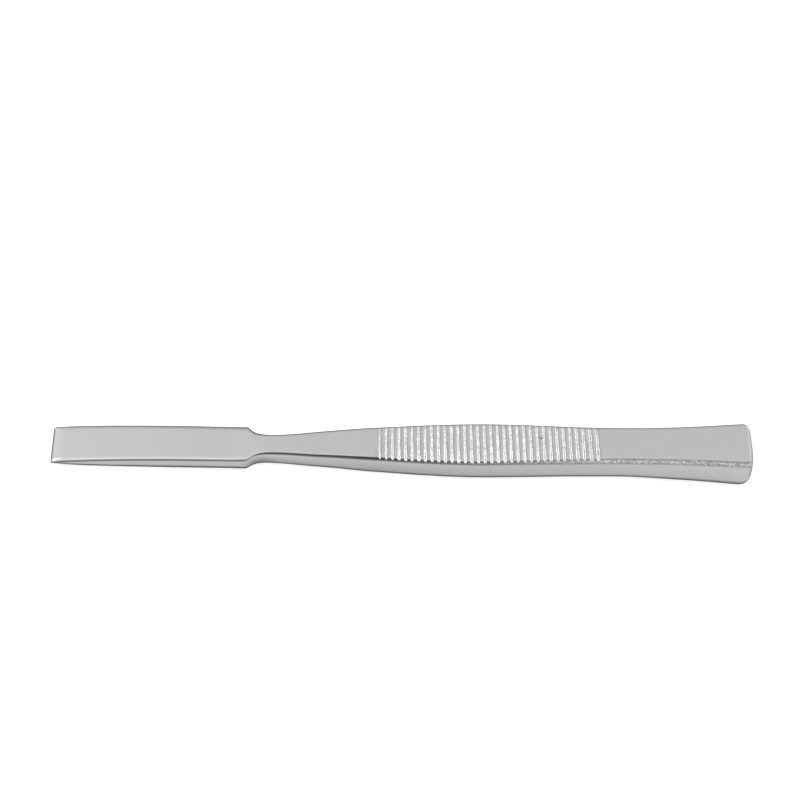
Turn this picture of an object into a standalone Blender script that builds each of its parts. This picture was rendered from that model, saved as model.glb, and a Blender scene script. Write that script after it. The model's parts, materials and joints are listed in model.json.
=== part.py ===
"""Osteotome: a bone chisel made from one bar of stainless steel, lying at rest on its back face.

Metres, +Z up. The tool lies along X, with the cutting edge at -X and the struck end at +X.
"""

from math import atan2, cos, pi, radians, sin, sqrt

import bpy

# Blade: the bevel, the flat behind it and the root, where it thickens towards the shoulder
CUTTING_EDGE_WIDTH = 0.0082
CUTTING_EDGE_THICKNESS = 0.00006
HONED_LENGTH = 0.0018
BEVEL_LENGTH = 0.0270
BLADE_FLAT_LENGTH = 0.0040
BLADE_ROOT_LENGTH = 0.0039
BLADE_BACK_WIDTH = 0.0080
BLADE_THICKNESS = 0.0022
BLADE_CORNER_RADIUS = 0.0003
BLADE_CHAMFER = 0.00015
BLADE_SIDE_RADIUS = 0.0200

# Neck: the narrowest section, behind the shoulder
SHOULDER_LENGTH = 0.0040
SHOULDER_SWEEP = 2.8
NECK_WIDTH = 0.0050
NECK_THICKNESS = 0.00285
NECK_CHAMFER = 0.00022
NECK_SIDE_RADIUS = 0.0040

# Flare: the section halfway between the neck and the grip
NECK_LENGTH = 0.0091
FLARE_WIDTH = 0.0063
FLARE_THICKNESS = 0.0033
FLARE_CHAMFER = 0.00028
FLARE_SIDE_RADIUS = 0.0065

# Grip: its front end and its widest section
FLARE_LENGTH = 0.0097
GRIP_FRONT_WIDTH = 0.00815
GRIP_FRONT_THICKNESS = 0.0039
GRIP_FRONT_CHAMFER = 0.00042
GRIP_FRONT_LENGTH = 0.0201
GRIP_WIDTH = 0.0099
GRIP_THICKNESS = 0.00435
GRIP_CHAMFER = 0.00052
GRIP_BACK_LENGTH = 0.0202
GRIP_SIDE_RADIUS = 0.0120

# Waist: the narrowest section behind the grip
WAIST_LENGTH = 0.0048
WAIST_WIDTH = 0.0087
WAIST_THICKNESS = 0.0049
WAIST_CHAMFER = 0.00068
WAIST_SIDE_RADIUS = 0.0160

# Tail: the flaring end, which the mallet strikes
TAIL_ROOT_LENGTH = 0.0089
TAIL_ROOT_WIDTH = 0.0091
TAIL_ROOT_THICKNESS = 0.0055
TAIL_LENGTH = 0.0133
TAIL_WIDTH = 0.0109
TAIL_THICKNESS = 0.0064
TAIL_CHAMFER = 0.00072
TAIL_SIDE_RADIUS = 0.0250
TAIL_CORNER_RADIUS = 0.0023
TAIL_EDGE_RADIUS = 0.0020

# Grooves across both faces of the grip
GROOVE_WIDTH = 0.00062
GROOVE_DEPTH = 0.00030
LAND_WIDTH = 0.000562
LEAST_EDGE = 0.00002
CHAMFER_LIMIT = 0.5

# Facets along the tool and around its sides
HONED_CORNER_FACETS = 3
BEVEL_FACETS = 11
ROOT_FACETS = 3
SHOULDER_FACETS = 8
NECK_FACETS = 6
FLARE_FACETS = 5
GROOVE_FACETS = 5
WAIST_FACETS = 2
TAIL_ROOT_FACETS = 4
TAIL_FACETS = 6
TAIL_END_FACETS = 6
SIDE_FACETS = 4
SHARP_ANGLE = radians(28)

# Steel
STEEL_COLOUR = (0.53, 0.53, 0.53, 1.0)
STEEL_ROUGHNESS = 0.30

# Places along the tool, counted from the cutting edge
BEVEL_END = BEVEL_LENGTH
ROOT_START = BEVEL_END + BLADE_FLAT_LENGTH
SHOULDER = ROOT_START + BLADE_ROOT_LENGTH
NECK = SHOULDER + SHOULDER_LENGTH
FLARE = NECK + NECK_LENGTH
GRIP_FRONT = FLARE + FLARE_LENGTH
GRIP_WIDEST = GRIP_FRONT + GRIP_FRONT_LENGTH
GRIP_END = GRIP_WIDEST + GRIP_BACK_LENGTH
WAIST = GRIP_END + WAIST_LENGTH
TAIL_ROOT = WAIST + TAIL_ROOT_LENGTH
TOOL_LENGTH = TAIL_ROOT + TAIL_LENGTH


def clear_scene():
    for old in list(bpy.data.objects):
        bpy.data.objects.remove(old, do_unlink=True)


def monotone_slopes(places, values):
    """Slopes for a cubic through the points that never passes beyond them."""
    steps = [after - before for before, after in zip(places, places[1:])]
    rises = [(after - before) / step for before, after, step in zip(values, values[1:], steps)]
    slopes = [0.0]
    for i in range(1, len(steps)):
        if rises[i - 1] * rises[i] <= 0:
            slopes.append(0.0)
            continue
        near = 2 * steps[i] + steps[i - 1]
        far = steps[i] + 2 * steps[i - 1]
        slopes.append((near + far) / (near / rises[i - 1] + far / rises[i]))
    slopes.append(rises[-1])
    return slopes


def smooth_curve(points):
    """A smooth function of the place along the tool, through (place, value) points."""
    places = [place for place, _ in points]
    values = [value for _, value in points]
    slopes = monotone_slopes(places, values)

    def value_at(place):
        if place <= places[0]:
            return values[0]
        i = max(k for k in range(len(places) - 1) if places[k] < place)
        step = places[i + 1] - places[i]
        u = (place - places[i]) / step
        from_start = (1 + 2 * u) * (1 - u) ** 2 * values[i] + u * (1 - u) ** 2 * step * slopes[i]
        from_end = u**2 * (3 - 2 * u) * values[i + 1] + u**2 * (u - 1) * step * slopes[i + 1]
        return from_start + from_end

    return value_at


handle_width = smooth_curve(
    [
        (NECK, NECK_WIDTH),
        (FLARE, FLARE_WIDTH),
        (GRIP_FRONT, GRIP_FRONT_WIDTH),
        (GRIP_WIDEST, GRIP_WIDTH),
        (WAIST, WAIST_WIDTH),
        (TAIL_ROOT, TAIL_ROOT_WIDTH),
        (TOOL_LENGTH, TAIL_WIDTH),
    ]
)

handle_thickness = smooth_curve(
    [
        (ROOT_START, BLADE_THICKNESS),
        (NECK, NECK_THICKNESS),
        (FLARE, FLARE_THICKNESS),
        (GRIP_FRONT, GRIP_FRONT_THICKNESS),
        (GRIP_WIDEST, GRIP_THICKNESS),
        (WAIST, WAIST_THICKNESS),
        (TAIL_ROOT, TAIL_ROOT_THICKNESS),
        (TOOL_LENGTH, TAIL_THICKNESS),
    ]
)

edge_chamfer = smooth_curve(
    [
        (ROOT_START, BLADE_CHAMFER),
        (NECK, NECK_CHAMFER),
        (FLARE, FLARE_CHAMFER),
        (GRIP_FRONT, GRIP_FRONT_CHAMFER),
        (GRIP_WIDEST, GRIP_CHAMFER),
        (WAIST, WAIST_CHAMFER),
        (TOOL_LENGTH, TAIL_CHAMFER),
    ]
)

side_radius = smooth_curve(
    [
        (ROOT_START, BLADE_SIDE_RADIUS),
        (NECK, NECK_SIDE_RADIUS),
        (FLARE, FLARE_SIDE_RADIUS),
        (GRIP_WIDEST, GRIP_SIDE_RADIUS),
        (WAIST, WAIST_SIDE_RADIUS),
        (TOOL_LENGTH, TAIL_SIDE_RADIUS),
    ]
)


def corner_inset(distance, radius):
    """How far a rounded corner of this radius stands back, at a distance from the end."""
    if distance >= radius:
        return 0.0
    return radius - sqrt(radius**2 - (radius - distance) ** 2)


def shoulder_width(place):
    """Each side of the shoulder sweeps in steeply and then flattens out along the neck."""
    share = ((NECK - place) / SHOULDER_LENGTH) ** SHOULDER_SWEEP
    return NECK_WIDTH + (BLADE_BACK_WIDTH - NECK_WIDTH) * share


def width_at(place):
    if place <= SHOULDER:
        taper = (CUTTING_EDGE_WIDTH - BLADE_BACK_WIDTH) * place / SHOULDER
        return CUTTING_EDGE_WIDTH - taper - 2 * corner_inset(place, BLADE_CORNER_RADIUS)
    if place < NECK:
        return shoulder_width(place)
    return handle_width(place) - 2 * corner_inset(TOOL_LENGTH - place, TAIL_CORNER_RADIUS)


def bevel_thickness(place):
    """Two convex bevels, elliptical along the blade."""
    return BLADE_THICKNESS * sqrt(1 - (1 - place / BEVEL_LENGTH) ** 2)


def thickness_at(place):
    if place < HONED_LENGTH:
        rise = bevel_thickness(HONED_LENGTH) - CUTTING_EDGE_THICKNESS
        return CUTTING_EDGE_THICKNESS + rise * place / HONED_LENGTH
    if place < BEVEL_END:
        return bevel_thickness(place)
    return handle_thickness(place) - 2 * corner_inset(TOOL_LENGTH - place, TAIL_EDGE_RADIUS)


def section_ring(place, cut):
    """Points of the section at this place, with both faces cut in by a groove of this depth."""
    half_width = width_at(place) / 2
    half_thickness = thickness_at(place) / 2
    chamfer = min(edge_chamfer(place), CHAMFER_LIMIT * half_thickness)
    radius = side_radius(place)

    def side(height):
        return half_width - (radius - sqrt(radius**2 - height**2))

    top = half_thickness - cut
    side_top = min(half_thickness - chamfer, top - LEAST_EDGE)
    face_edge = min(side(half_thickness - chamfer) - chamfer + cut, side(side_top))
    heights = [side_top * (1 - 2 * k / SIDE_FACETS) for k in range(SIDE_FACETS + 1)]
    left = [(place, -side(height), height) for height in heights]
    right = [(place, side(height), height) for height in reversed(heights)]
    upper = [(place, face_edge, top), (place, -face_edge, top)]
    lower = [(place, -face_edge, -top), (place, face_edge, -top)]
    return upper + left + lower + right


def even_places(start, end, facets):
    """Places that divide a stretch evenly, without its end."""
    return [start + (end - start) * k / facets for k in range(facets)]


def rounded_places(radius, facets):
    """Distances from an end that divide a quarter arc evenly, from 0 to the radius."""
    return [radius * (1 - cos(pi / 2 * k / facets)) for k in range(facets + 1)]


def bevel_places():
    """Places on the bevel, closer together where it curves more."""
    rounded = rounded_places(BEVEL_LENGTH - HONED_LENGTH, BEVEL_FACETS)
    return [HONED_LENGTH + distance for distance in rounded]


def shoulder_places():
    """Places down the shoulder, closer together where it is steep."""
    return [NECK - SHOULDER_LENGTH * cos(pi / 2 * k / SHOULDER_FACETS) for k in range(SHOULDER_FACETS)]


def groove_sections():
    """(place, depth) across every groove of the grip, each round at its bottom."""
    pitch = GROOVE_WIDTH + LAND_WIDTH
    count = int((GRIP_END - GRIP_FRONT) / pitch)
    margin = (GRIP_END - GRIP_FRONT - count * pitch) / 2
    sections = []
    for number in range(count):
        centre = GRIP_FRONT + margin + (number + 0.5) * pitch
        for k in range(GROOVE_FACETS + 1):
            angle = pi * k / GROOVE_FACETS
            sections.append((centre - GROOVE_WIDTH / 2 * cos(angle), GROOVE_DEPTH * sin(angle)))
    return sections


def tail_end_places():
    """Places over the rounded end, down to the flat that is struck."""
    reach = max(TAIL_CORNER_RADIUS, TAIL_EDGE_RADIUS)
    return [TOOL_LENGTH - distance for distance in reversed(rounded_places(reach, TAIL_END_FACETS))]


def all_sections():
    """(place, groove depth) of every section, from the cutting edge to the struck end."""
    blade = rounded_places(BLADE_CORNER_RADIUS, HONED_CORNER_FACETS) + bevel_places()
    root = even_places(ROOT_START, SHOULDER, ROOT_FACETS)
    neck = even_places(NECK, FLARE, NECK_FACETS) + even_places(FLARE, GRIP_FRONT, FLARE_FACETS)
    tail_end = tail_end_places()
    tail = even_places(GRIP_END, WAIST, WAIST_FACETS)
    tail += even_places(WAIST, TAIL_ROOT, TAIL_ROOT_FACETS)
    tail += even_places(TAIL_ROOT, tail_end[0], TAIL_FACETS)
    front = [(place, 0.0) for place in blade + root + shoulder_places() + neck]
    back = [(place, 0.0) for place in tail + tail_end]
    return front + groove_sections() + back


def loft(name, rings):
    """A closed mesh through rings of equally many points, with a flat cap on each end."""
    count = len(rings[0])
    points = [point for ring in rings for point in ring]
    faces = [tuple(reversed(range(count)))]
    for first in range(0, len(points) - count, count):
        for k in range(count):
            after = (k + 1) % count
            faces.append((first + k, first + after, first + count + after, first + count + k))
    faces.append(tuple(range(len(points) - count, len(points))))
    mesh = bpy.data.meshes.new(name)
    mesh.from_pydata(points, [], faces)
    mesh.shade_smooth()
    mesh.set_sharp_from_angle(angle=SHARP_ANGLE)
    return mesh


def stainless_steel():
    steel = bpy.data.materials.new("stainless_steel")
    steel.use_nodes = True
    shader = steel.node_tree.nodes["Principled BSDF"]
    shader.inputs["Base Color"].default_value = STEEL_COLOUR
    shader.inputs["Metallic"].default_value = 1.0
    shader.inputs["Roughness"].default_value = STEEL_ROUGHNESS
    return steel


def balance_place(rings):
    """The place along the tool of its centre of mass, from the areas of its sections."""
    moment = 0.0
    volume = 0.0
    for here, following in zip(rings, rings[1:]):
        area = here[0][1] * here[0][2]
        slice_volume = area * (following[0][0] - here[0][0])
        volume += slice_volume
        moment += slice_volume * (here[0][0] + following[0][0]) / 2
    return moment / volume


def lower_hull(points):
    """The (x, z) corners that a straight edge held under the points can touch, from -X to +X."""
    hull = []
    for x, z in sorted(points):
        while len(hull) > 1:
            (x0, z0), (x1, z1) = hull[-2:]
            if (x1 - x0) * (z - z0) > (z1 - z0) * (x - x0):
                break
            hull.pop()
        hull.append((x, z))
    return hull


def rest_tilt(rings):
    """The slope of the line that the tool lies on: the one under its centre of mass."""
    balance = balance_place(rings)
    hull = lower_hull([(point[0], point[2]) for ring in rings for point in ring])
    for (x0, z0), (x1, z1) in zip(hull, hull[1:]):
        if x0 <= balance <= x1:
            return atan2(z1 - z0, x1 - x0)
    return 0.0


def lay_on_floor(tool, tilt):
    """Turns the tool onto the line it rests on and centres it over the origin, on Z = 0."""
    tool.rotation_euler = (0.0, tilt, 0.0)
    points = [vertex.co for vertex in tool.data.vertices]
    along = [point.x * cos(tilt) + point.z * sin(tilt) for point in points]
    heights = [point.z * cos(tilt) - point.x * sin(tilt) for point in points]
    tool.location = (-(min(along) + max(along)) / 2, 0.0, -min(heights))


def build_osteotome():
    rings = [section_ring(place, cut) for place, cut in all_sections()]
    mesh = loft("osteotome", rings)
    mesh.materials.append(stainless_steel())
    tool = bpy.data.objects.new("osteotome", mesh)
    bpy.context.scene.collection.objects.link(tool)
    lay_on_floor(tool, rest_tilt(rings))
    return tool


clear_scene()
build_osteotome()
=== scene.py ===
import json
from math import atan2, cos, pi, radians, sin, sqrt, tan

import bpy
import numpy as np
from mathutils import Matrix, Vector


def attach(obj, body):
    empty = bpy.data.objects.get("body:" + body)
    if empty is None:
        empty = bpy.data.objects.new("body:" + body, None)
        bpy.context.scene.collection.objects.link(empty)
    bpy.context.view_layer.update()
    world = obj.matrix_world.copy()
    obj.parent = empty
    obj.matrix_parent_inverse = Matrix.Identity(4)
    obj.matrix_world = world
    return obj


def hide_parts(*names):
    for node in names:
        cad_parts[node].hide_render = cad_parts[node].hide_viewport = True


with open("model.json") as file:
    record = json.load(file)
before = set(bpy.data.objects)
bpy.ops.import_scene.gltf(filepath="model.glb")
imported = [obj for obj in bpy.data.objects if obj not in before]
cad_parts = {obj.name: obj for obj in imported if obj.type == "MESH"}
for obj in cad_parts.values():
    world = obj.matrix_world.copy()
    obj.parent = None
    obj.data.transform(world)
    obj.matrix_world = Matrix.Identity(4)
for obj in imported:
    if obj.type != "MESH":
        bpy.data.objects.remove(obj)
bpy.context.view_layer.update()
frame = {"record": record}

# The osteotome is one bar of ground steel. Its fine surface is built here in metres, in the tool's own
# frame: X from the cutting edge to the struck end, Y across, Z up through its thickness.

# Blade, from the cutting edge back to the shoulder
CUTTING_EDGE_WIDTH = 0.0084
CUTTING_EDGE_THICKNESS = 0.00006
HONED_LENGTH = 0.0018
HONED_SOFTNESS = 0.00012
BEVEL_LENGTH = 0.0270
BLADE_FLAT_LENGTH = 0.0040
BLADE_ROOT_LENGTH = 0.0039
BLADE_BACK_WIDTH = 0.0081
BLADE_THICKNESS = 0.0022
BLADE_CHAMFER = 0.00015
BLADE_SIDE_RADIUS = 0.0200

# Neck and the flare behind it
SHOULDER_LENGTH = 0.0040
SHOULDER_SHARE_LIMIT = 1.5
NECK_WIDTH = 0.00493
NECK_THICKNESS = 0.00285
NECK_CHAMFER = 0.00022
NECK_SIDE_RADIUS = 0.0040
NECK_LENGTH = 0.0091
FLARE_WIDTH = 0.0063
FLARE_THICKNESS = 0.0033
FLARE_CHAMFER = 0.00028
FLARE_SIDE_RADIUS = 0.0065
FLARE_LENGTH = 0.0097

# Grip
GRIP_FRONT_WIDTH = 0.0080
GRIP_FRONT_THICKNESS = 0.00396
GRIP_FRONT_CHAMFER = 0.00038
GRIP_FRONT_LENGTH = 0.0201
GRIP_WIDTH = 0.0099
GRIP_THICKNESS = 0.00435
GRIP_CHAMFER = 0.00046
GRIP_BACK_LENGTH = 0.0202
GRIP_SIDE_RADIUS = 0.0120

# Waist and tail
WAIST_LENGTH = 0.0048
WAIST_WIDTH = 0.0087
WAIST_THICKNESS = 0.0049
WAIST_CHAMFER = 0.00068
WAIST_SIDE_RADIUS = 0.0160
TAIL_ROOT_LENGTH = 0.0089
TAIL_ROOT_WIDTH = 0.0091
TAIL_ROOT_THICKNESS = 0.0055
TAIL_LENGTH = 0.0133
TAIL_WIDTH = 0.01073
TAIL_CHAMFER = 0.00072
TAIL_SIDE_RADIUS = 0.0250
CHAMFER_LIMIT = 0.5

# The two sides, near and far, differ a little, as the tool is ground by hand
NEAR = 0
FAR = 1
TIP_CORNER_RADII = (0.00012, 0.00062)
SHOULDER_LEADS = (0.0002, 0.0001)
SHOULDER_SWEEPS = (3.0, 3.8)
SHOULDER_SOFTNESSES = (0.00015, 0.00005)
TAIL_CORNER_REACHES = (0.0012, 0.0014)
TAIL_CORNER_DEPTHS = (0.0012, 0.0023)
NEAR_END_SET_BACK = 0.00042

# The struck end at the upper and the lower face: twice its height over the middle, and its rounding
UPPER = 0
LOWER = 1
TAIL_THICKNESSES = (0.00619, 0.00644)
TAIL_EDGE_REACHES = (0.0009, 0.0026)
TAIL_EDGE_DEPTHS = (0.0010, 0.0027)

# Places along the tool, counted from the cutting edge
BEVEL_END = BEVEL_LENGTH
ROOT_START = BEVEL_END + BLADE_FLAT_LENGTH
SHOULDER = ROOT_START + BLADE_ROOT_LENGTH
NECK = SHOULDER + SHOULDER_LENGTH
FLARE = NECK + NECK_LENGTH
GRIP_FRONT = FLARE + FLARE_LENGTH
GRIP_WIDEST = GRIP_FRONT + GRIP_FRONT_LENGTH
GRIP_END = GRIP_WIDEST + GRIP_BACK_LENGTH
WAIST = GRIP_END + WAIST_LENGTH
TAIL_ROOT = WAIST + TAIL_ROOT_LENGTH
TOOL_LENGTH = TAIL_ROOT + TAIL_LENGTH

# How far the real tool's middle line strays across, at places along it
MIDDLE_LINE = (
    (0.0, 0.00016),
    (0.0165, 0.00019),
    (0.0295, 0.00013),
    (SHOULDER, 0.00006),
    (NECK + 0.0012, -0.00013),
    (NECK + 0.0055, -0.00011),
    (FLARE + 0.0030, 0.0),
    (GRIP_FRONT, 0.0),
    (GRIP_WIDEST, 0.00006),
    (GRIP_END - 0.0050, 0.00005),
    (GRIP_END + 0.0038, 0.00011),
    (WAIST + 0.0062, 0.00002),
    (TAIL_ROOT, 0.0),
    (TOOL_LENGTH, 0.0),
)

# How far the grip's near side strays out from the far side's shape
NEAR_STRAY = (
    (GRIP_FRONT, 0.0),
    (GRIP_FRONT + 0.0075, 0.00007),
    (GRIP_FRONT + 0.0138, 0.00007),
    (GRIP_WIDEST - 0.0013, 0.0),
    (GRIP_WIDEST + 0.0045, -0.00013),
    (GRIP_WIDEST + 0.0120, -0.00015),
    (GRIP_END, -0.00004),
    (WAIST + 0.0030, 0.0),
    (TOOL_LENGTH, -0.00002),
)

# Grooves, filed by hand: two sloping walls that meet in a narrow bottom. They start narrow, wander a
# little, and grow wider, flatter and deeper towards the near edge.
GROOVE_WIDTH = 0.00062
LAND_WIDTH = 0.000562
GROOVE_NARROWNESS = 0.70
GROOVE_SHARES = (0.0, 0.10, 0.25, 0.45, 0.70, 0.90, 1.0)
GROOVE_SLOPE = 0.62
GROOVE_BOTTOM = 0.08
GROOVE_END_BOTTOM = 0.35
GROOVE_LEAN = 0.05
FAR_SHALLOWING = 0.28
FIRST_GROOVES = (0.60, 0.78, 0.92)
FLAT_SHARE = 0.30
FLAT_REACH = 0.0036
END_FLAT_SHARE = 0.34
LAST_GROOVES = 10
LAST_WIDENING = 0.14
LAST_FLAT_SHARE = 0.25
GROOVE_END_DEPTH = 0.00031
GROOVE_END_REACH = 0.0010
GROOVE_END_POWER = 1.4
GROOVE_END_WIDENING = 0.29
GROOVE_WANDER = 0.000018
GROOVE_WIDTH_SPREAD = 0.08
GROOVE_DEPTH_SPREAD = 0.08
GROOVE_WAVES = (0.0011, 0.0023, 0.0052)
GROOVE_WAVE_STRENGTHS = (0.3, 1)
GROOVE_SEED = 7
LEAST_CUT = 0.000004
GROOVE_MASK_DEPTH = 0.00004

# How far the grooves lie in front of an even pitch, by their numbers
GROOVE_SET_BACKS = (
    (0, 0.00002),
    (2, 0.00011),
    (5, 0.00018),
    (13, 0.00020),
    (20, 0.00024),
    (31, 0.00024),
    (33, 0.00015),
)

# Polished edges: how much of a chamfer its two rounded corners take, and the soft roll of the faces
BLADE_ROUNDING = 0.60
GRIP_ROUNDING = 0.32
TAIL_ROUNDING = 0.22
BLADE_ROLL = 0.00008
BLADE_ROLL_WIDTH = 0.0009
HANDLE_ROLL = 0.00002
HANDLE_ROLL_WIDTH = 0.0005
ROLL_LIMIT = 0.5

# Rows along the tool and columns over a quarter of its section
TIP_CORNER_ROWS = 7
HONED_ROWS = 6
BEVEL_ROWS = 24
FLAT_ROWS = 4
ROOT_ROWS = 6
LEAD_ROWS = 3
SHOULDER_ROWS = 24
NECK_ROWS = 14
FLARE_ROWS = 14
WAIST_ROWS = 5
TAIL_ROOT_ROWS = 10
TAIL_ROWS = 14
TAIL_END_ROWS = 18
FACE_COLUMNS = 13
ROLL_COLUMNS = 5
CORNER_COLUMNS = 6
CHAMFER_COLUMNS = 2
SIDE_SHARES = (0.93, 0.8, 0.6, 0.4, 0.2, 0.0)
FACE_END_COLUMN = FACE_COLUMNS + ROLL_COLUMNS
QUARTER_COLUMNS = FACE_END_COLUMN + 2 * (CORNER_COLUMNS + 1) + CHAMFER_COLUMNS - 1 + len(SIDE_SHARES)
SHARP_ANGLE = radians(32)

# Steel: noise as cells to the metre along X, Y and Z, and what its values become
STEEL_COLOUR = 0.507
STEEL_COLOUR_SPREAD = 0.005
STEEL_ROUGHNESS = 0.27
STEEL_ROUGHNESS_SPREAD = 0.015
CLOUD_CELLS = (160, 420, 420)
GRAIN_CELLS = (900, 9000, 9000)
GRAIN_ROUGHNESS = 0.02
GRAIN_HEIGHT = 0.00000025
FILE_MARK_CELLS = (9000, 500, 500)
FILE_MARK_HEIGHT = 0.0000016
STREAK_CELLS = (4200, 220, 220)
STREAK_STRENGTH = 0.07
MIDDLE_NOISE = (0.3, 0.7)
PIT_CELLS = (2600, 5200, 5200)
PIT_COLOURS = (0.38, 1.00)
PIT_COLOUR_NOISE = (0.40, 0.62)
PIT_SHARE = 0.8
PIT_ROUGHNESSES = (0.50, 0.75)
PIT_ROUGHNESS_NOISE = (0.35, 0.65)
PIT_HEIGHT = 0.00001
BLOTCH_CELLS = (1500, 1700, 1700)
GROOVE_COLOURS = (STEEL_COLOUR - 0.14, STEEL_COLOUR + 0.04)
GROOVE_NOISE = (0.36, 0.58)
GROOVE_ROUGHNESS = 0.24
STRUCK_ROUGHNESS = 0.60
FACE_SHARE = 0.97
# Painted shade: the colour that the edges and outlines are darkened towards
EDGE_PAINTED_SHADE_COLOUR = 0.10
# Painted shade: a dark line along the tail-side lip of each groove on the broad faces
LIP_PAINTED_SHADE_COLOUR = 0.34
# Painted highlight: the colour that the bright places are lightened towards
PAINTED_HIGHLIGHT_COLOUR = 0.90
SPECK_COLOUR = 0.27
SPECK_PLACE = (0.02470, 0.00123, 0.0046)
SPECK_SIZE = (0.00062, 0.00032, 0.0010)
SPECK_CORE = 0.4

# Painted highlights, where the steel shines: in the near ends of the grooves, beside the cutting edge and
# along the near edge
END_SHINE_GAIN = 1.3
NEAR_GROOVE_SHINE = 0.28
TIP_SHINE_REACH = 0.0024
TIP_SHINE = ((0.00021, 0.0), (0.00036, 1.0), (0.0008, 1.0), (TIP_SHINE_REACH, 0.0))
TIP_SHINE_COLUMNS = 3
NEAR_SHINE = (0.08, 0.18, 0.32)
NEAR_SHINE_FADE = (
    (SHOULDER - SHOULDER_LENGTH, 1.0),
    (SHOULDER, 0.4),
    (NECK, 0.4),
    (FLARE, 0.3),
    (GRIP_FRONT, 0.1),
    (GRIP_WIDEST, 0.0),
)

# Painted shade on the edges, for the dark surroundings that the polished edges mirror: how dark they are
# painted at places along the tool, on the broad face beside its edge, the two corners of each chamfer and
# the flat between them. The painted line along the bottom of the side starts and is full at these shares
# of its half height.
EDGE_PLACES = (
    SHOULDER - 0.0005,
    SHOULDER + 0.0004,
    SHOULDER + 0.0014,
    NECK,
    FLARE,
    GRIP_FRONT,
    GRIP_WIDEST,
    GRIP_END,
)
NEAR_FACE_EDGE = (0.92, 0.20, 0.30, 0.35, 0.35, 0.20, 0.15, 0.10)
FAR_FACE_EDGE = (0.12, 0.30, 0.40, 0.40, 0.50, 0.40, 0.30, 0.20)
NEAR_CORNER = (0.92, 0.50, 0.95, 1.00, 1.00, 1.00, 0.80, 0.48)
FAR_CORNER = (0.65, 0.80, 0.90, 0.90, 0.90, 0.72, 0.60, 0.50)
CHAMFER_FLAT = (0.92, 0.40, 0.75, 0.90, 0.90, 1.00, 0.35, 0.00)
SIDE_CORNER = (0.80, 0.40, 0.50, 0.50, 0.50, 0.55, 0.50, 0.35)
LINE_START = (0.35, 0.40, 0.45, 0.45, 0.45, 0.50, 0.58, 0.70)
LINE_FULL = (0.70, 0.80, 0.85, 0.85, 0.85, 0.88, 0.90, 0.92)

# The near corner's painted shade goes from the face's to its own over the first third of its turn
CORNER_RISE = 3

# The side darkens downwards where the shoulder sweeps in
SHOULDER_SHADE = (
    (SHOULDER - 0.0012, 0.0),
    (SHOULDER, 0.45),
    (SHOULDER + 0.0008, 0.8),
    (NECK - 0.0006, 0.8),
    (NECK + 0.0020, 0.32),
    (FLARE, 0.10),
    (GRIP_FRONT - 0.0020, 0.18),
    (GRIP_FRONT + 0.0060, 0.16),
    (GRIP_WIDEST, 0.05),
    (GRIP_END, 0.0),
)
SHADE_TOP = 0.8
SHADE_SPAN = 1.7

# Painted shade: small darker steps of tone on the side and on the neck's face
SIDE_PAINTED_SHADE = (
    (SHOULDER, 0.0),
    (NECK, 0.01),
    (FLARE, 0.06),
    (GRIP_FRONT, 0.09),
    (GRIP_WIDEST, 0.08),
    (GRIP_END, 0.05),
    (TAIL_ROOT, 0.0),
)
FACE_PAINTED_SHADE = (
    (SHOULDER - 0.0030, 0.0),
    (SHOULDER + 0.0020, 0.035),
    (FLARE, 0.025),
    (GRIP_FRONT, 0.0),
)

# Painted shade at the cutting edge and the struck end
TIP_EDGE_DARKNESS = 1.0
TIP_EDGE_REACH = 0.00030
TIP_SIDE_DARKNESS = 0.55
TIP_SIDE_REACH = 0.004
TIP_FAR_DARKNESS = 0.6
TIP_LINE_REACH = 0.009
TIP_LINE_FULL = 0.4
END_EDGE_DARKNESS = ((0.0, 0.0), (0.00003, 0.4), (0.00020, 0.4), (0.00050, 0.0))
END_FADE = 0.00050

# Camera, as the photo was taken
CAMERA_AIM = Vector((0.0, 0.0, 0.00204))
CAMERA_AZIMUTH = radians(-3.486)
CAMERA_ELEVATION = radians(49.348)
CAMERA_ROLL = radians(4.022)
CAMERA_DISTANCE = 0.4347
CAMERA_LENS = 109.35
CAMERA_SHIFT_X = -0.0035
CAMERA_SHIFT_Y = 0.0626
CAMERA_CLIP_START = 0.01

# Studio
FLOOR_SIZE = 4.0
FLOOR_DROP = 0.00001
FLOOR_COLOUR = 0.60
FLOOR_SEEN_GLOW = 0.66
FLOOR_MIRRORED_GLOW = 0.41
WALL_RADIUS = 6.0
WALL_SPAN = radians(80)
WALL_SIDES = 16
WALL_DARK_TOP = 1.6
WALL_TOP = 2.6
WALL_GLOW = 0.06

# Dark cards: name, azimuth and elevation in degrees, distance, width, height, softness and glow
FLAGS = (
    ("camera_flag", 3, 35, 0.60, 0.62, 0.70, 0.25, 0.32),
    ("back_flag", 180, 16, 0.90, 0.95, 0.66, 0.20, 0.06),
)

# Soft boxes: name, azimuth and elevation in degrees, width, height and radiance
LAMP_DISTANCE = 0.60
LAMPS = (
    ("left_box", -137, 20, 0.26, 0.26, 1.3),
    ("right_box", 132, 20, 0.26, 0.26, 1.3),
    ("tip_box", -106, 64, 0.16, 0.16, 1.2),
    ("end_box", 106, 62, 0.16, 0.16, 1.0),
    ("blade_box", -152, 47, 0.25, 0.28, 0.18),
    ("top_box", 0, 88, 0.50, 0.60, 0.4),
)


def monotone_slopes(places, values):
    """Slopes for a cubic through the points that never passes beyond them."""
    steps = np.diff(places)
    rises = np.diff(values) / steps
    slopes = np.zeros(len(places))
    for i in range(1, len(steps)):
        if rises[i - 1] * rises[i] > 0:
            near = 2 * steps[i] + steps[i - 1]
            far = steps[i] + 2 * steps[i - 1]
            slopes[i] = (near + far) / (near / rises[i - 1] + far / rises[i])
    slopes[-1] = rises[-1]
    return slopes


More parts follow.
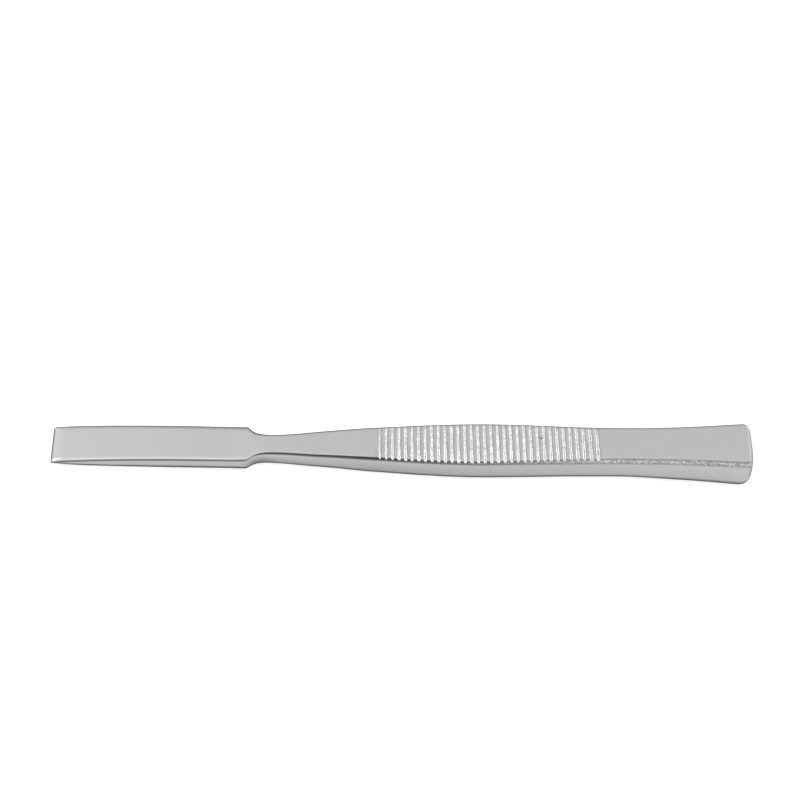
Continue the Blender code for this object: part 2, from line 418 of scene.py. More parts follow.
def smooth_curve(points):
    """A smooth function of the places along the tool, through (place, value) points."""
    places, values = (np.array(column) for column in zip(*points))
    slopes = monotone_slopes(places, values)

    def value_at(place):
        place = np.clip(place, places[0], places[-1])
        i = np.clip(np.searchsorted(places, place) - 1, 0, len(places) - 2)
        step = places[i + 1] - places[i]
        u = (place - places[i]) / step
        from_start = (1 + 2 * u) * (1 - u) ** 2 * values[i] + u * (1 - u) ** 2 * step * slopes[i]
        from_end = u**2 * (3 - 2 * u) * values[i + 1] + u**2 * (u - 1) * step * slopes[i + 1]
        return from_start + from_end

    return value_at


handle_width = smooth_curve(
    [
        (NECK, NECK_WIDTH),
        (FLARE, FLARE_WIDTH),
        (GRIP_FRONT, GRIP_FRONT_WIDTH),
        (GRIP_WIDEST, GRIP_WIDTH),
        (WAIST, WAIST_WIDTH),
        (TAIL_ROOT, TAIL_ROOT_WIDTH),
        (TOOL_LENGTH, TAIL_WIDTH),
    ]
)

handle_thicknesses = [
    smooth_curve(
        [
            (ROOT_START, BLADE_THICKNESS),
            (NECK, NECK_THICKNESS),
            (FLARE, FLARE_THICKNESS),
            (GRIP_FRONT, GRIP_FRONT_THICKNESS),
            (GRIP_WIDEST, GRIP_THICKNESS),
            (WAIST, WAIST_THICKNESS),
            (TAIL_ROOT, TAIL_ROOT_THICKNESS),
            (TOOL_LENGTH, tail_thickness),
        ]
    )
    for tail_thickness in TAIL_THICKNESSES
]

edge_chamfer = smooth_curve(
    [
        (ROOT_START, BLADE_CHAMFER),
        (NECK, NECK_CHAMFER),
        (FLARE, FLARE_CHAMFER),
        (GRIP_FRONT, GRIP_FRONT_CHAMFER),
        (GRIP_WIDEST, GRIP_CHAMFER),
        (WAIST, WAIST_CHAMFER),
        (TOOL_LENGTH, TAIL_CHAMFER),
    ]
)

side_radius = smooth_curve(
    [
        (ROOT_START, BLADE_SIDE_RADIUS),
        (NECK, NECK_SIDE_RADIUS),
        (FLARE, FLARE_SIDE_RADIUS),
        (GRIP_WIDEST, GRIP_SIDE_RADIUS),
        (WAIST, WAIST_SIDE_RADIUS),
        (TOOL_LENGTH, TAIL_SIDE_RADIUS),
    ]
)

corner_rounding = smooth_curve(
    [
        (NECK, BLADE_ROUNDING),
        (GRIP_FRONT, GRIP_ROUNDING),
        (WAIST, TAIL_ROUNDING),
    ]
)
face_roll = smooth_curve([(SHOULDER, BLADE_ROLL), (NECK, HANDLE_ROLL)])
face_roll_width = smooth_curve([(SHOULDER, BLADE_ROLL_WIDTH), (NECK, HANDLE_ROLL_WIDTH)])
middle_line = smooth_curve(MIDDLE_LINE)
near_stray = smooth_curve(NEAR_STRAY)


def corner_inset(distance, reach, depth):
    """How far a rounded corner stands back, at distances from the end."""
    inside = np.clip(1 - distance / reach, 0, 1)
    return depth * (1 - np.sqrt(1 - inside**2))


def smooth_minimum(first, second, softness):
    """The smaller of the two, rounded over where they cross."""
    return (first + second - np.sqrt((first - second) ** 2 + softness**2)) / 2


def half_width_at(place, side):
    """From the middle line to this side."""
    blade = CUTTING_EDGE_WIDTH - (CUTTING_EDGE_WIDTH - BLADE_BACK_WIDTH) * place / SHOULDER
    tip_radius = TIP_CORNER_RADII[side]
    blade = blade / 2 - corner_inset(place, tip_radius, tip_radius)
    start = SHOULDER - SHOULDER_LEADS[side]
    share = np.clip((NECK - place) / (NECK - start), 0, SHOULDER_SHARE_LIMIT) ** SHOULDER_SWEEPS[side]
    shoulder = (NECK_WIDTH + (BLADE_BACK_WIDTH - NECK_WIDTH) * share) / 2
    shoulder = smooth_minimum(blade, shoulder, SHOULDER_SOFTNESSES[side])
    tail_inset = corner_inset(TOOL_LENGTH - place, TAIL_CORNER_REACHES[side], TAIL_CORNER_DEPTHS[side])
    stray = near_stray(place) if side == NEAR else 0.0
    handle = handle_width(place) / 2 - tail_inset + stray
    return np.where(place <= ROOT_START, blade, np.where(place < NECK, shoulder, handle))


def bevel_thickness(place):
    """Two convex bevels, elliptical along the blade."""
    rest = 1 - np.clip(place / BEVEL_LENGTH, 0, 1)
    return BLADE_THICKNESS * np.sqrt(1 - rest**2)


def thickness_at(place, face=UPPER):
    """Twice the height of this face over the tool's middle."""
    rise = bevel_thickness(np.array(HONED_LENGTH)) - CUTTING_EDGE_THICKNESS
    honed = CUTTING_EDGE_THICKNESS + rise * place / HONED_LENGTH
    end_inset = corner_inset(TOOL_LENGTH - place, TAIL_EDGE_REACHES[face], TAIL_EDGE_DEPTHS[face])
    handle = handle_thicknesses[face](place) - 2 * end_inset
    ground = np.where(place < BEVEL_END, bevel_thickness(place), handle)
    softness = HONED_SOFTNESS * np.clip(place / HONED_LENGTH, 0, 1)
    softened = smooth_minimum(honed, ground, softness)
    tip = np.where(place < HONED_LENGTH / 4, honed, softened)
    return np.where(place < BEVEL_END, tip, ground)


def even(start, end, count):
    """Places that divide a stretch evenly, without its end."""
    return [start + (end - start) * k / count for k in range(count)]


def plain_rows():
    """Places of the rows in front of the grip and behind it."""
    corner = max(TIP_CORNER_RADII)
    front = [corner * (1 - cos(pi / 2 * k / TIP_CORNER_ROWS)) for k in range(TIP_CORNER_ROWS)]
    front += even(corner, HONED_LENGTH, HONED_ROWS)
    bevel = BEVEL_END - HONED_LENGTH
    front += [HONED_LENGTH + bevel * (1 - cos(pi / 2 * k / BEVEL_ROWS)) for k in range(BEVEL_ROWS)]
    shoulder_start = SHOULDER - max(SHOULDER_LEADS)
    front += even(BEVEL_END, ROOT_START, FLAT_ROWS) + even(ROOT_START, shoulder_start, ROOT_ROWS)
    front += even(shoulder_start, SHOULDER, LEAD_ROWS)
    front += [NECK - SHOULDER_LENGTH * cos(pi / 2 * k / SHOULDER_ROWS) for k in range(SHOULDER_ROWS)]
    front += even(NECK, FLARE, NECK_ROWS) + even(FLARE, GRIP_FRONT, FLARE_ROWS)
    end_reach = max(TAIL_CORNER_REACHES + TAIL_EDGE_REACHES)
    back = even(GRIP_END, WAIST, WAIST_ROWS) + even(WAIST, TAIL_ROOT, TAIL_ROOT_ROWS)
    back += even(TAIL_ROOT, TOOL_LENGTH - end_reach, TAIL_ROWS)
    turns = [pi / 2 * k / TAIL_END_ROWS for k in range(TAIL_END_ROWS + 1)]
    back += [TOOL_LENGTH - end_reach * (1 - sin(turn)) for turn in turns]
    return front, back


def grip_rows():
    """Each row on the grip: its place, its groove's number, or -1 on a land, and its share across."""
    pitch = GROOVE_WIDTH + LAND_WIDTH
    count = int((GRIP_END - GRIP_FRONT) / pitch)
    margin = (GRIP_END - GRIP_FRONT - count * pitch) / 2
    rows = [(GRIP_FRONT, -1, 0.0)]
    for number in range(count):
        set_back = np.interp(number, *zip(*GROOVE_SET_BACKS))
        centre = GRIP_FRONT + margin + (number + 0.5) * pitch - set_back
        for share in [-share for share in GROOVE_SHARES[:0:-1]] + list(GROOVE_SHARES):
            rows.append((centre + share * GROOVE_WIDTH / 2, number, share))
        rows.append((centre + pitch / 2, -1, 0.0))
    return rows


def quarter_section(place, side, face):
    """Y and Z over a quarter of each section, from the middle of the face to the middle of the side."""
    place = place[:, None]
    w = half_width_at(place, side)
    t = thickness_at(place, face) / 2
    c = np.minimum(edge_chamfer(place), CHAMFER_LIMIT * t)
    radius = side_radius(place)
    height = t - c
    side_y = w - (radius - np.sqrt(radius**2 - height**2))
    side_turn = pi / 2 - np.arcsin(height / radius)
    slant = corner_rounding(place) * c * sqrt(2) / 2
    face_round = slant / tan(pi / 8)
    side_round = slant / np.tan((side_turn - pi / 4) / 2)
    face_end = side_y - c - slant

    roll_width = np.minimum(face_roll_width(place), face_end / 2)
    inner = np.arange(FACE_COLUMNS) / FACE_COLUMNS * (face_end - roll_width)
    outer = face_end - roll_width * (1 - np.arange(ROLL_COLUMNS) / ROLL_COLUMNS)
    face_y = np.hstack([inner, outer])
    face_z = t + 0 * face_y

    turn = np.arange(CORNER_COLUMNS + 1) / CORNER_COLUMNS * pi / 4
    first_y = face_end + face_round * np.sin(turn)
    first_z = t - face_round * (1 - np.cos(turn))

    start_y = side_y - slant / sqrt(2)
    start_z = height + slant / sqrt(2)
    turn = pi / 4 + np.arange(CORNER_COLUMNS + 1) / CORNER_COLUMNS * (side_turn - pi / 4)
    second_y = start_y + side_round * (np.sin(turn) - sin(pi / 4))
    second_z = start_z + side_round * (np.cos(turn) - cos(pi / 4))

    share = np.arange(1, CHAMFER_COLUMNS) / CHAMFER_COLUMNS
    flat_y = first_y[:, -1:] + (second_y[:, :1] - first_y[:, -1:]) * share
    flat_z = first_z[:, -1:] + (second_z[:, :1] - first_z[:, -1:]) * share

    low_z = second_z[:, -1:] * np.array(SIDE_SHARES)
    low_y = w - (radius - np.sqrt(radius**2 - low_z**2))

    y = np.hstack([face_y, first_y, flat_y, second_y, low_y])
    z = np.hstack([face_z, first_z, flat_z, second_z, low_z])
    reach = np.clip((y - (face_end - roll_width)) / roll_width, 0, 1)
    z -= np.minimum(face_roll(place), ROLL_LIMIT * c) * reach**2 * np.clip((z - height) / c, 0, 1)
    return y, z


def round_the_ring(near_upper, near_lower, far_lower, far_upper):
    """Joins the columns of four quarter sections into a ring, without the ones that they share."""
    return np.hstack([near_upper, near_lower[:, -2::-1], far_lower[:, 1:], far_upper[:, -2:0:-1]])


def full_sections(place):
    """Y and Z all round each section: over the near half first, then under, then up the far half."""
    near_y, near_z = quarter_section(place, NEAR, UPPER)
    low_near_y, low_near_z = quarter_section(place, NEAR, LOWER)
    far_y, far_z = quarter_section(place, FAR, UPPER)
    low_far_y, low_far_z = quarter_section(place, FAR, LOWER)
    ring_y = round_the_ring(-near_y, -low_near_y, low_far_y, far_y)
    ring_z = round_the_ring(near_z, -low_near_z, -low_far_z, far_z)
    return ring_y, ring_z


def waves(random, y, spread):
    """A smooth, irregular curve over y, of about this spread."""
    total = np.zeros_like(y)
    for length in GROOVE_WAVES:
        wave = np.sin(2 * pi * y / length + random.uniform(0, 2 * pi))
        total += wave * random.uniform(*GROOVE_WAVE_STRENGTHS)
    return spread * total


def groove_profile(share, flat, bottom):
    """How deep a groove is, from 0 at its lips to 1 on its floor, across its width from -1 to 1."""
    lean = np.where(share < GROOVE_LEAN, 1 + GROOVE_LEAN, 1 - GROOVE_LEAN)
    off_floor = np.clip(np.abs(share - GROOVE_LEAN) / lean - flat, 0, 1) / (1 - flat)
    lip = np.sqrt(1 + bottom**2)
    return (lip - np.sqrt(off_floor**2 + bottom**2)) / (lip - bottom)


def file_grooves(place, numbers, shares, ring_y, ring_z):
    """Cuts the grooves into both faces. Gives X, how deep each point went, and its painted highlight."""
    random = np.random.default_rng(GROOVE_SEED)
    ring_x = np.repeat(place[:, None], ring_y.shape[1], 1)
    body_z = ring_z.copy()
    ends = np.zeros_like(ring_z)
    half_thickness = thickness_at(place) / 2
    for side in (1, -1):
        upper = side * body_z[len(place) // 2] > 0
        for number in range(numbers.max() + 1):
            rows = np.flatnonzero(numbers == number)
            size = FIRST_GROOVES[number] if number < len(FIRST_GROOVES) else 1.0
            y = ring_y[rows][:, upper]
            z = side * body_z[rows][:, upper]
            share = shares[rows][:, None]
            edge = np.abs(y).max()
            nearness = np.clip(1 - (edge + y) / FLAT_REACH, 0, 1)
            end_share = np.clip(1 - (edge + y) / GROOVE_END_REACH, 0, 1)
            to_end = end_share**GROOVE_END_POWER
            late = np.clip((number - numbers.max() + LAST_GROOVES) / LAST_GROOVES, 0, 1)
            flat = FLAT_SHARE * nearness + END_FLAT_SHARE * end_share
            flat = flat + LAST_FLAT_SHARE * late * (1 - end_share)
            widening = GROOVE_NARROWNESS + waves(random, y, GROOVE_WIDTH_SPREAD)
            widening = widening + GROOVE_END_WIDENING * nearness
            widening = widening + LAST_WIDENING * late * (1 - nearness / 2)
            half = size * GROOVE_WIDTH / 2 * widening
            depth = GROOVE_SLOPE * half * (1 - flat) * (1 + waves(random, y, GROOVE_DEPTH_SPREAD))
            depth = depth * (1 - FAR_SHALLOWING * np.clip(y / edge, 0, 1))
            depth = depth + (GROOVE_END_DEPTH - depth) * to_end
            shift = waves(random, y, GROOVE_WANDER) + share * (half - GROOVE_WIDTH / 2)
            fade = np.clip(z / (half_thickness[rows][:, None] / 2), 0, 1)
            ring_x[np.ix_(rows, upper)] += shift * fade
            bottom = GROOVE_BOTTOM + (GROOVE_END_BOTTOM - GROOVE_BOTTOM) * to_end
            floor = half_thickness[rows][:, None] - depth * groove_profile(share, flat, bottom)
            ring_z[np.ix_(rows, upper)] = side * np.minimum(z, floor)
            # Painted highlight in the grooves' near ends and towards the near edge
            shine = np.clip(END_SHINE_GAIN * end_share + NEAR_GROOVE_SHINE * nearness, 0, 1)
            ends[np.ix_(rows, upper)] = shine * (z - floor > LEAST_CUT)
    lands = np.flatnonzero((numbers[1:-1] < 0) & (numbers[:-2] >= 0) & (numbers[2:] >= 0)) + 1
    shifts = ring_x - place[:, None]
    ring_x[lands] += (shifts[lands - 1] + shifts[lands + 1]) / 2
    return ring_x, np.abs(body_z - ring_z), ends


def loft(name, ring_x, ring_y, ring_z):
    """A closed mesh through the rings, with a flat cap on each end."""
    rows, count = ring_x.shape
    points = np.stack([ring_x, ring_y, ring_z], axis=-1).reshape(-1, 3)
    first = np.arange(rows - 1)[:, None] * count
    k = np.arange(count)
    after = (k + 1) % count
    quads = np.stack([first + k, first + after, first + count + after, first + count + k], axis=-1)
    faces = quads.reshape(-1, 4).tolist()
    faces.append(list(reversed(range(count))))
    faces.append(list(range(len(points) - count, len(points))))
    mesh = bpy.data.meshes.new(name)
    mesh.from_pydata(points.tolist(), [], faces)
    mesh.shade_smooth()
    mesh.set_sharp_from_angle(angle=SHARP_ANGLE)
    return mesh


def add_mask(mesh, name, values):
    """A number for each point, which the steel's nodes read."""
    attribute = mesh.attributes.new(name, "FLOAT", "POINT")
    attribute.data.foreach_set("value", values.astype(np.float32).ravel())


def chamfer_mask(place):
    """1 on the flats of the chamfers, growing along the grip, where they are ground coarser."""
    corner = np.arange(CORNER_COLUMNS + 1) >= CORNER_COLUMNS / 2
    face = np.zeros(FACE_END_COLUMN)
    flat = np.ones(CHAMFER_COLUMNS - 1)
    quarter = np.hstack([face, corner, flat, corner[::-1], np.zeros(len(SIDE_SHARES))])[None, :]
    along_grip = np.clip((place - GRIP_FRONT) / (GRIP_END - GRIP_FRONT), 0, 1)[:, None]
    return along_grip * round_the_ring(quarter, quarter, quarter, quarter)


def at_places(place, values):
    """A number for each place along the tool, from the numbers at EDGE_PLACES."""
    return np.interp(place, EDGE_PLACES, values)[:, None]


def half_full(distance, reach):
    """1 over the first half of the reach, falling to 0 at its end."""
    return np.clip(2 - 2 * distance / reach, 0, 1)


def end_fade(place):
    """1 along the tool and 0 on the struck face."""
    return np.clip((TOOL_LENGTH - place) / END_FADE, 0, 1)[:, None]


def edge_painted_shade(place):
    """Painted shade on the edges, for the dark surroundings their polished roundings mirror: round each
    section, and at the tool's two ends.
    """
    turn = np.arange(CORNER_COLUMNS + 1)[None, :] / CORNER_COLUMNS
    height = np.array(SIDE_SHARES)[None, :]
    # Painted shade on the neck's face and on the side
    face_painted_shade = np.interp(place, *zip(*FACE_PAINTED_SHADE))[:, None]
    side_painted_shade = np.interp(place, *zip(*SIDE_PAINTED_SHADE))[:, None]
    face = face_painted_shade + np.zeros((1, FACE_END_COLUMN))
    near_face = face.copy()
    # Painted shade on the near face's edge beside the cutting edge
    near_face[:, -1] = np.clip(1 - place / TIP_SHINE_REACH, 0, 1)
    far_face = face.copy()
    far_tip = TIP_FAR_DARKNESS * np.clip(1 - place / TIP_SIDE_REACH, 0, 1)[:, None]
    far_face[:, -1:] = np.maximum(at_places(place, FAR_FACE_EDGE), far_tip)
    rise = np.clip(CORNER_RISE * turn, at_places(place, NEAR_FACE_EDGE), 1)
    near_corner = at_places(place, NEAR_CORNER) * rise
    far_corner = at_places(place, FAR_CORNER) + 0 * turn
    flat = at_places(place, CHAMFER_FLAT) + np.zeros((1, CHAMFER_COLUMNS - 1))
    side_corner = at_places(place, SIDE_CORNER) + 0 * turn
    under_corner = np.ones_like(side_corner)
    shade = np.interp(place, *zip(*SHOULDER_SHADE))[:, None]
    off_tip = np.clip(place / TIP_LINE_REACH, 0, 1)[:, None]
    start = at_places(place, LINE_START) * off_tip
    full = at_places(place, LINE_FULL) * np.maximum(off_tip, TIP_LINE_FULL)
    line = np.clip((height - start) / (full - start), 0, 1)
    upper_side = side_painted_shade + shade * np.clip((SHADE_TOP - height) / SHADE_SPAN, 0, 1)
    lower_side = side_painted_shade + shade * np.clip((SHADE_TOP + height) / SHADE_SPAN, 0, 1)
    lower_side = np.maximum(line, lower_side)

    near_upper = np.hstack([near_face, near_corner, flat, side_corner, upper_side])
    far_upper = np.hstack([far_face, far_corner, flat, side_corner, upper_side])
    lower = np.hstack([face, near_corner, flat, under_corner, lower_side])
    body = round_the_ring(near_upper, lower, lower, far_upper) * end_fade(place)

    # Painted shade beside the cutting edge and round the struck end
    off_face = (np.arange(QUARTER_COLUMNS) >= FACE_END_COLUMN - 1)[None, :]
    tip_side = TIP_SIDE_DARKNESS * np.clip(1 - place / TIP_SIDE_REACH, 0, 1)[:, None]
    tip_side = tip_side * round_the_ring(off_face, off_face, off_face, off_face)
    tip = TIP_EDGE_DARKNESS * half_full(place, TIP_EDGE_REACH)
    end = np.interp(TOOL_LENGTH - place, *zip(*END_EDGE_DARKNESS))
    return np.maximum(np.maximum(body, tip_side), np.maximum(tip, end)[:, None])


def near_shine(place):
    """Painted highlight on the face beside its near edge, and most of all beside the cutting edge."""
    dark = np.zeros((len(place), QUARTER_COLUMNS))
    bright = dark.copy()
    fade = np.interp(place, *zip(*NEAR_SHINE_FADE))[:, None]
    bright[:, FACE_END_COLUMN - len(NEAR_SHINE):FACE_END_COLUMN] = fade * np.array(NEAR_SHINE)
    tip = np.interp(place, *zip(*TIP_SHINE))[:, None]
    wedge = slice(FACE_END_COLUMN - 1 - TIP_SHINE_COLUMNS, FACE_END_COLUMN - 1)
    bright[:, wedge] = np.maximum(bright[:, wedge], tip)
    return round_the_ring(bright, dark, dark, dark)


def on_face(place, ring_z):
    """Where a point is on one of the two broad faces."""
    return np.abs(ring_z) > FACE_SHARE * thickness_at(place)[:, None] / 2


def lay_on_floor(mesh):
    """Lays the tool along the CAD solid's axis, centred over the origin, on Z = 0."""
    axis = frame["record"]["mounts"][0]["axis"]
    mesh.transform(Matrix.Rotation(-atan2(axis[2], axis[0]), 4, "Y"))
    along = [vertex.co.x for vertex in mesh.vertices]
    lowest = min(vertex.co.z for vertex in mesh.vertices)
    mesh.transform(Matrix.Translation((-(min(along) + max(along)) / 2, 0.0, -lowest)))


def build_osteotome():
    """The whole tool as one mesh, with its masks, laid on the floor."""
    front, back = plain_rows()
    rows = [(place, -1, 0.0) for place in front] + grip_rows()
    rows += [(place, -1, 0.0) for place in back[1:]]
    place, numbers, shares = (np.array(column) for column in zip(*rows))
    ring_y, ring_z = full_sections(place)
    broad = on_face(place, ring_z)
    ring_x, depth, ends = file_grooves(place, numbers, shares, ring_y, ring_z)
    near_share = np.clip(-2 * ring_y / TAIL_WIDTH, 0, 1)
    tail_share = np.clip((place - TAIL_ROOT) / TAIL_LENGTH, 0, 1)[:, None]
    ring_x = ring_x - NEAR_END_SET_BACK * near_share**2 * tail_share
    strayed_y = ring_y + middle_line(place)[:, None]
    mesh = loft("osteotome_steel", ring_x, strayed_y, ring_z)
    groove = np.clip(depth / GROOVE_MASK_DEPTH, 0, 1)
    add_mask(mesh, "groove", groove)
    # Painted highlights in the groove ends, beside the cutting edge and along the near edge
    add_mask(mesh, "shine", np.maximum(ends, near_shine(place)))
    # Painted shade along the tail-side lip of each groove
    add_mask(mesh, "lip", broad * (shares == 1.0)[:, None])
    add_mask(mesh, "coarse", chamfer_mask(place) * end_fade(place) * (1 - groove))
    # Painted shade along the edges and outlines, kept off the grooves on the near half
    add_mask(mesh, "edge", edge_painted_shade(place) * (1 - groove * (ring_y < 0)))
    in_grip = (place >= GRIP_FRONT) & (place <= GRIP_END)
    add_mask(mesh, "grip", broad * in_grip[:, None])
    struck = half_full(TOOL_LENGTH - place, TAIL_EDGE_REACHES[UPPER])
    add_mask(mesh, "struck", struck[:, None] + 0 * ring_x)
    lay_on_floor(mesh)
    tool = bpy.data.objects.new("osteotome_steel", mesh)
    bpy.context.scene.collection.objects.link(tool)
    return tool


def node(tree, kind, inputs=None, **settings):
    """Adds a shader node. An input is given by name or number, as a value or as a socket to link."""
    made = tree.nodes.new(kind)
    for name, value in settings.items():
        setattr(made, name, value)
    for name, value in (inputs or {}).items():
        if isinstance(value, bpy.types.NodeSocket):
            tree.links.new(value, made.inputs[name])
        else:
            made.inputs[name].default_value = value
    return made


def noise(tree, place, stretch, detail=2.0):
    """Noise from 0 to 1 with this many cells to the metre along X, Y and Z."""
    mapping = node(tree, "ShaderNodeMapping", {"Vector": place, "Scale": stretch})
    inputs = {"Vector": mapping.outputs[0], "Scale": 1.0, "Detail": detail}
    return node(tree, "ShaderNodeTexNoise", inputs).outputs["Fac"]


def remap(tree, value, low, high, start=0.0, end=1.0):
    """Takes the value from start..end to low..high."""
    settings = {"Value": value, "From Min": start, "From Max": end, "To Min": low, "To Max": high}
    return node(tree, "ShaderNodeMapRange", settings).outputs[0]


def read_mask(tree, name):
    """The number that add_mask gave each point."""
    return node(tree, "ShaderNodeAttribute", attribute_name=name).outputs["Fac"]


def calculate(tree, operation, first, second):
    """The sum or product of two numbers, say."""
    return node(tree, "ShaderNodeMath", {0: first, 1: second}, operation=operation).outputs[0]


def calculate_vector(tree, operation, first, second):
    """The same for two vectors."""
    return node(tree, "ShaderNodeVectorMath", {0: first, 1: second}, operation=operation).outputs[0]


def length_of(tree, vector):
    """How long a vector is."""
    return node(tree, "ShaderNodeVectorMath", {0: vector}, operation="LENGTH").outputs["Value"]


def blend(tree, share, first, second):
    """The first number where the share is 0, the second where it is 1."""
    return node(tree, "ShaderNodeMix", {0: share, 2: first, 3: second}, data_type="FLOAT").outputs[0]


def steel_material():
    """Satin ground stainless steel with lengthwise grain, filed grooves and coarser tail chamfers."""
    steel = bpy.data.materials.new("stainless_steel")
    steel.use_nodes = True
    tree = steel.node_tree
    shader = tree.nodes["Principled BSDF"]
    place = node(tree, "ShaderNodeTexCoord").outputs["Object"]
    groove = read_mask(tree, "groove")
    coarse = read_mask(tree, "coarse")
    edge = read_mask(tree, "edge")
    lip = read_mask(tree, "lip")
    grip = read_mask(tree, "grip")
    struck = read_mask(tree, "struck")
    shine = read_mask(tree, "shine")

    clouds = noise(tree, place, CLOUD_CELLS, 3.0)
    grain = noise(tree, place, GRAIN_CELLS, 3.0)
    file_marks = noise(tree, place, FILE_MARK_CELLS, 3.0)
    streaks = noise(tree, place, STREAK_CELLS)
    pits = noise(tree, place, PIT_CELLS, 3.0)
    blotches = noise(tree, place, BLOTCH_CELLS)

    spread = STEEL_COLOUR_SPREAD
    value = remap(tree, clouds, STEEL_COLOUR - spread, STEEL_COLOUR + spread, *MIDDLE_NOISE)
    streaks = remap(tree, streaks, -STREAK_STRENGTH, STREAK_STRENGTH, *MIDDLE_NOISE)
    value = calculate(tree, "ADD", value, calculate(tree, "MULTIPLY", grip, streaks))
    pitted = remap(tree, pits, *PIT_COLOURS, *PIT_COLOUR_NOISE)
    value = blend(tree, calculate(tree, "MULTIPLY", coarse, PIT_SHARE), value, pitted)
    value = blend(tree, groove, value, remap(tree, blotches, *GROOVE_COLOURS, *GROOVE_NOISE))
    # Painted shade on the grooves' lips
    value = blend(tree, lip, value, LIP_PAINTED_SHADE_COLOUR)
    # Painted shade on the edges and outlines
    value = blend(tree, edge, value, EDGE_PAINTED_SHADE_COLOUR)
    # Painted highlights
    value = blend(tree, shine, value, PAINTED_HIGHLIGHT_COLOUR)
    from_speck = calculate_vector(tree, "SUBTRACT", place, SPECK_PLACE)
    from_speck = length_of(tree, calculate_vector(tree, "DIVIDE", from_speck, SPECK_SIZE))
    value = blend(tree, remap(tree, from_speck, 1.0, 0.0, SPECK_CORE, 1.0), value, SPECK_COLOUR)
    colour = node(tree, "ShaderNodeCombineColor", {0: value, 1: value, 2: value})

    spread = STEEL_ROUGHNESS_SPREAD
    satin = remap(tree, clouds, STEEL_ROUGHNESS - spread, STEEL_ROUGHNESS + spread, *MIDDLE_NOISE)
    satin = calculate(tree, "ADD", satin, remap(tree, grain, -GRAIN_ROUGHNESS, GRAIN_ROUGHNESS))
    ground = remap(tree, pits, *PIT_ROUGHNESSES, *PIT_ROUGHNESS_NOISE)
    roughness = blend(tree, coarse, satin, ground)
    roughness = blend(tree, groove, roughness, GROOVE_ROUGHNESS)
    roughness = blend(tree, struck, roughness, STRUCK_ROUGHNESS)

    height = calculate(tree, "MULTIPLY", grain, GRAIN_HEIGHT)
    for marks, share, depth in ((file_marks, groove, FILE_MARK_HEIGHT), (pits, coarse, PIT_HEIGHT)):
        marks = calculate(tree, "MULTIPLY", marks, calculate(tree, "MULTIPLY", share, depth))
        height = calculate(tree, "ADD", height, marks)
    bump = node(tree, "ShaderNodeBump", {"Height": height, "Strength": 1.0, "Distance": 1.0})

    tree.links.new(colour.outputs[0], shader.inputs["Base Color"])
    tree.links.new(roughness, shader.inputs["Roughness"])
    tree.links.new(bump.outputs[0], shader.inputs["Normal"])
    shader.inputs["Metallic"].default_value = 1.0
    return steel


def white_world():
    """An even white studio."""
    world = bpy.data.worlds.new("studio")
    world.use_nodes = True
    world.node_tree.nodes["Background"].inputs["Color"].default_value = (1.0, 1.0, 1.0, 1.0)
    world.node_tree.nodes["Background"].inputs["Strength"].default_value = 1.0
    bpy.context.scene.world = world


def floor_material():
    """A pale matt floor, white where it is seen or mirrored, that still takes the tool's shadow."""
    paper = bpy.data.materials.new("floor")
    paper.use_nodes = True
    tree = paper.node_tree
    shader = tree.nodes["Principled BSDF"]
    shader.inputs["Base Color"].default_value = (FLOOR_COLOUR, FLOOR_COLOUR, FLOOR_COLOUR, 1.0)
    shader.inputs["Roughness"].default_value = 1.0
    shader.inputs["Specular IOR Level"].default_value = 0.0
    rays = node(tree, "ShaderNodeLightPath")
    glossy, transmitted = rays.outputs["Is Glossy Ray"], rays.outputs["Is Transmission Ray"]
    mirrored = calculate(tree, "MAXIMUM", glossy, transmitted)
    mirrored = calculate(tree, "MULTIPLY", mirrored, FLOOR_MIRRORED_GLOW)
    seen = calculate(tree, "MULTIPLY", rays.outputs["Is Camera Ray"], FLOOR_SEEN_GLOW)
    strength = calculate(tree, "ADD", seen, mirrored)
    glow = node(tree, "ShaderNodeEmission", {"Strength": strength})
    total = node(tree, "ShaderNodeAddShader", {0: shader.outputs[0], 1: glow.outputs[0]})
    tree.links.new(total.outputs[0], tree.nodes["Material Output"].inputs["Surface"])
    return paper


def add_floor():
    """A square sheet just under the tool."""
    half = FLOOR_SIZE / 2
    mesh = bpy.data.meshes.new("floor")
    corners = ((-half, -half), (half, -half), (half, half), (-half, half))
    mesh.from_pydata([(x, y, -FLOOR_DROP) for x, y in corners], [], [(0, 1, 2, 3)])
    mesh.materials.append(floor_material())
    floor = bpy.data.objects.new("floor", mesh)
    bpy.context.scene.collection.objects.link(floor)


def direction(azimuth, elevation):
    """The unit vector to a place round the tool. Azimuth 0 is in front, at -Y, and 90 at +X."""
    return Vector((sin(azimuth) * cos(elevation), -cos(azimuth) * cos(elevation), sin(elevation)))


def dark_material(glow, measure, solid, clear):
    """Dark up to the solid distance from the card's middle, or height, and gone at the clear one."""
    dark = bpy.data.materials.new("dark_card")
    dark.use_nodes = True
    tree = dark.node_tree
    tree.nodes.remove(tree.nodes["Principled BSDF"])
    place = node(tree, "ShaderNodeTexCoord").outputs["Object"]
    if measure == "LENGTH":
        reach = length_of(tree, place)
    else:
        reach = node(tree, "ShaderNodeSeparateXYZ", {0: place}).outputs[measure]
    cover = remap(tree, reach, 1.0, 0.0, solid, clear)
    card = node(tree, "ShaderNodeEmission", {"Strength": glow})
    open_air = node(tree, "ShaderNodeBsdfTransparent")
    total = node(tree, "ShaderNodeMixShader", {0: cover, 1: open_air.outputs[0], 2: card.outputs[0]})
    tree.links.new(total.outputs[0], tree.nodes["Material Output"].inputs["Surface"])
    return dark


def add_card(name, mesh):
    """A dark card that the steel mirrors. The camera and the matt floor don't see it."""
    card = bpy.data.objects.new(name, mesh)
    bpy.context.scene.collection.objects.link(card)
    card.visible_camera = False
    card.visible_diffuse = False
    return card


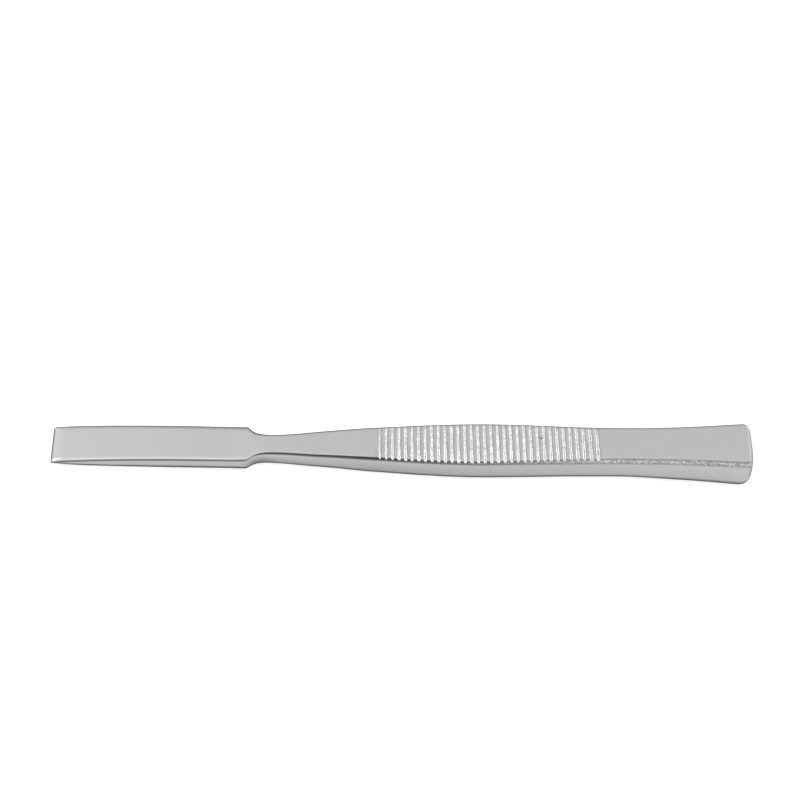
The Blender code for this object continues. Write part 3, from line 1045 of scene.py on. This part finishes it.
def add_flag(name, azimuth, elevation, distance, width, height, softness, glow):
    """An oval dark card that faces the tool."""
    mesh = bpy.data.meshes.new(name)
    mesh.from_pydata([(-1, -1, 0), (1, -1, 0), (1, 1, 0), (-1, 1, 0)], [], [(0, 1, 2, 3)])
    mesh.materials.append(dark_material(glow, "LENGTH", 1.0 - softness, 1.0))
    towards = direction(radians(azimuth), radians(elevation))
    add_card(name, mesh).matrix_world = (
        Matrix.Translation(CAMERA_AIM + distance * towards)
        @ towards.to_track_quat("Z", "Y").to_matrix().to_4x4()
        @ Matrix.Diagonal((width / 2, height / 2, 1.0, 1.0))
    )


def add_dark_wall():
    """The unlit wall of the room, far behind the set, which fades out at its top."""
    corners = []
    for k in range(WALL_SIDES + 1):
        angle = pi / 2 + WALL_SPAN * (k / WALL_SIDES - 0.5)
        x, y = WALL_RADIUS * cos(angle), WALL_RADIUS * sin(angle)
        corners += [(x, y, 0.0), (x, y, WALL_TOP)]
    faces = [(2 * k, 2 * k + 2, 2 * k + 3, 2 * k + 1) for k in range(WALL_SIDES)]
    mesh = bpy.data.meshes.new("dark_wall")
    mesh.from_pydata(corners, [], faces)
    mesh.materials.append(dark_material(WALL_GLOW, "Z", WALL_DARK_TOP, WALL_TOP))
    add_card("dark_wall", mesh)


def add_lamp(name, azimuth, elevation, width, height, radiance):
    """A soft box that faces the tool."""
    lamp = bpy.data.lights.new(name, "AREA")
    lamp.shape = "RECTANGLE"
    lamp.size = width
    lamp.size_y = height
    lamp.energy = radiance * pi * width * height
    box = bpy.data.objects.new(name, lamp)
    bpy.context.scene.collection.objects.link(box)
    towards = direction(radians(azimuth), radians(elevation))
    box.location = CAMERA_AIM + LAMP_DISTANCE * towards
    box.rotation_mode = "QUATERNION"
    box.rotation_quaternion = towards.to_track_quat("Z", "Y")


def add_studio():
    """World, floor, cards and lamps."""
    white_world()
    add_floor()
    add_dark_wall()
    for flag in FLAGS:
        add_flag(*flag)
    for lamp in LAMPS:
        add_lamp(*lamp)


def add_camera():
    """The camera that took the photo."""
    camera = bpy.data.objects.new("camera", bpy.data.cameras.new("camera"))
    bpy.context.scene.collection.objects.link(camera)
    back = direction(CAMERA_AZIMUTH, CAMERA_ELEVATION)
    level = Vector((cos(CAMERA_AZIMUTH), sin(CAMERA_AZIMUTH), 0.0))
    turn = Matrix((level, back.cross(level), back)).transposed()
    turn = turn @ Matrix.Rotation(CAMERA_ROLL, 3, "Z")
    camera.matrix_world = Matrix.Translation(CAMERA_AIM + CAMERA_DISTANCE * back) @ turn.to_4x4()
    camera.data.lens = CAMERA_LENS
    camera.data.shift_x = CAMERA_SHIFT_X
    camera.data.shift_y = CAMERA_SHIFT_Y
    camera.data.clip_start = CAMERA_CLIP_START
    bpy.context.scene.camera = camera


osteotome = build_osteotome()
osteotome.data.materials.append(steel_material())
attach(osteotome, "root")
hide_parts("osteotome")
add_studio()
add_camera()
bpy.context.scene.view_settings.view_transform = "Standard"
